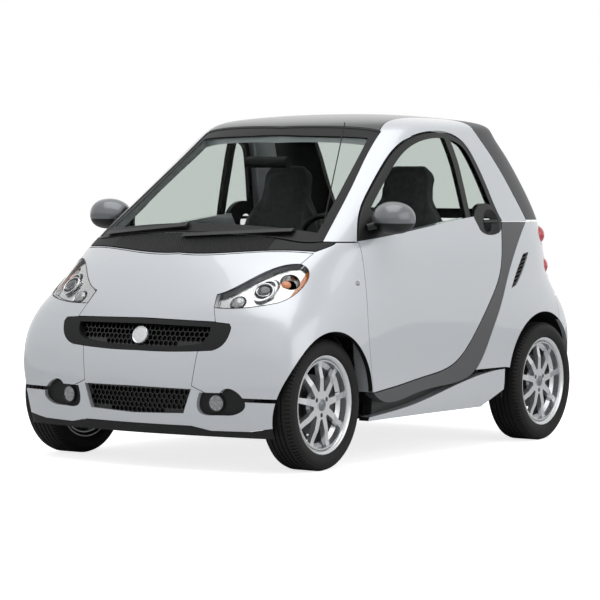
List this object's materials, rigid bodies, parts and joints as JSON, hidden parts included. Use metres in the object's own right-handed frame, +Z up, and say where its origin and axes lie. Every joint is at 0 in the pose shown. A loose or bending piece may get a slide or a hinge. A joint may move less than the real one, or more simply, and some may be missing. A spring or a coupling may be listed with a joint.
{
  "type": "microcar",
  "caption": "Two-seat city car with hollow cabin, hinged doors, split tailgate, steered front wheels on knuckles and wheels that roll",
  "frame": {"origin": "on the ground under the middle of the body's length", "axes": "+Z up, the front faces -Y, the car's left side is +X"},
  "size_m": [1.752, 2.6876, 1.5749],
  "materials": {
    "silver_paint": "metallic clear coat",
    "dark_gloss": "gloss",
    "black_plastic": "grained",
    "glass": "tinted",
    "lamp_glass": "clear",
    "red_lens": "gloss",
    "lamp_shell": "bright",
    "tyre": "tread",
    "alloy": "silver lacquer",
    "cast": "cast",
    "steel": "black satin",
    "fabric": "woven"
  },
  "bodies": {
    "body": {"safety_cell": "silver_paint", "roof_panel": "dark_gloss", "windscreen": "glass", "lower_bands": "silver_paint", "side_sills": "black_plastic", "rear_wings": "silver_paint", "bonnet": "silver_paint", "cowl_panel": "black_plastic", "front_bumper": "silver_paint", "front_lip": "black_plastic", "front_wings": "silver_paint", "upper_grille_frame": "silver_paint", "grilles": "black_plastic", "headlamps": "lamp_shell", "headlamp_lenses": "lamp_glass", "fog_lamp_pods": "black_plastic", "fog_lamps": "lamp_glass", "tail_lamps": "red_lens", "rear_bumper": "silver_paint", "dashboard": "black_plastic", "seats": "fabric", "floor_pan": "steel", "wheel_liners": "black_plastic", "front_frame": "steel", "rear_frame": "steel", "engine_block": "cast", "exhaust": "steel", "front_arms": "steel", "rear_axle": "steel", "interior_mirror": "black_plastic", "wipers": "black_plastic", "aerial": "black_plastic", "side_vents": "black_plastic"},
    "door_left": {"door_left": "silver_paint", "window_frame_left": "black_plastic", "side_glass_left": "glass", "mirror_left": "silver_paint"},
    "door_right": {"door_right": "silver_paint", "window_frame_right": "black_plastic", "side_glass_right": "glass", "mirror_right": "silver_paint"},
    "rear_hatch": {"rear_hatch": "dark_gloss", "hatch_glass": "glass"},
    "tailgate": {"tailgate": "silver_paint"},
    "steering_wheel": {"steering_wheel": "black_plastic"},
    "knuckle_left": {"knuckle_left": "cast"},
    "knuckle_right": {"knuckle_right": "cast"},
    "front_wheel_left": {"front_tyre_left": "tyre", "front_rim_left": "alloy"},
    "front_wheel_right": {"front_tyre_right": "tyre", "front_rim_right": "alloy"},
    "rear_wheel_left": {"rear_tyre_left": "tyre", "rear_rim_left": "alloy"},
    "rear_wheel_right": {"rear_tyre_right": "tyre", "rear_rim_right": "alloy"}
  },
  "joints": [
    {"name": "steering", "type": "hinge", "parent": "body", "child": "steering_wheel", "pos_m": [0.345, -0.2825, 0.93], "axis": [0, 0.891, 0.454], "range_deg": [-540, 540]},
    {"name": "kingpin_left", "type": "hinge", "parent": "body", "child": "knuckle_left", "pos_m": [0.5815, -0.9325, 0.2835], "axis": [-0.2079, 0, 0.9781], "range_deg": [-32.5, 32.5]},
    {"name": "front_axle_left", "type": "hinge", "parent": "knuckle_left", "child": "front_wheel_left", "pos_m": [0.6415, -0.9325, 0.2835], "axis": [1, 0, 0], "continuous": true},
    {"name": "rear_axle_left", "type": "hinge", "parent": "body", "child": "rear_wheel_left", "pos_m": [0.6925, 0.9345, 0.28675], "axis": [1, 0, 0], "continuous": true},
    {"name": "door_hinge_left", "type": "hinge", "parent": "body", "child": "door_left", "pos_m": [0.762, -0.6555, 0.7], "axis": [0, 0, -1], "range_deg": [0, 65]},
    {"name": "kingpin_right", "type": "hinge", "parent": "body", "child": "knuckle_right", "pos_m": [-0.5815, -0.9325, 0.2835], "axis": [0.2079, 0, 0.9781], "range_deg": [-32.5, 32.5]},
    {"name": "front_axle_right", "type": "hinge", "parent": "knuckle_right", "child": "front_wheel_right", "pos_m": [-0.6415, -0.9325, 0.2835], "axis": [1, 0, 0], "continuous": true},
    {"name": "rear_axle_right", "type": "hinge", "parent": "body", "child": "rear_wheel_right", "pos_m": [-0.6925, 0.9345, 0.28675], "axis": [1, 0, 0], "continuous": true},
    {"name": "door_hinge_right", "type": "hinge", "parent": "body", "child": "door_right", "pos_m": [-0.762, -0.6555, 0.7], "axis": [0, 0, 1], "range_deg": [0, 65]},
    {"name": "hatch_hinge", "type": "hinge", "parent": "body", "child": "rear_hatch", "pos_m": [0, 0.5135, 1.577], "axis": [1, 0, 0], "range_deg": [0, 80]},
    {"name": "tailgate_hinge", "type": "hinge", "parent": "body", "child": "tailgate", "pos_m": [0, 1.2935, 0.7], "axis": [-1, 0, 0], "range_deg": [0, 90]}
  ],
  "couplings": [
    {"joint": "kingpin_left", "follows": "steering", "ratio": 0.06},
    {"joint": "kingpin_right", "follows": "steering", "ratio": 0.06}
  ]
}
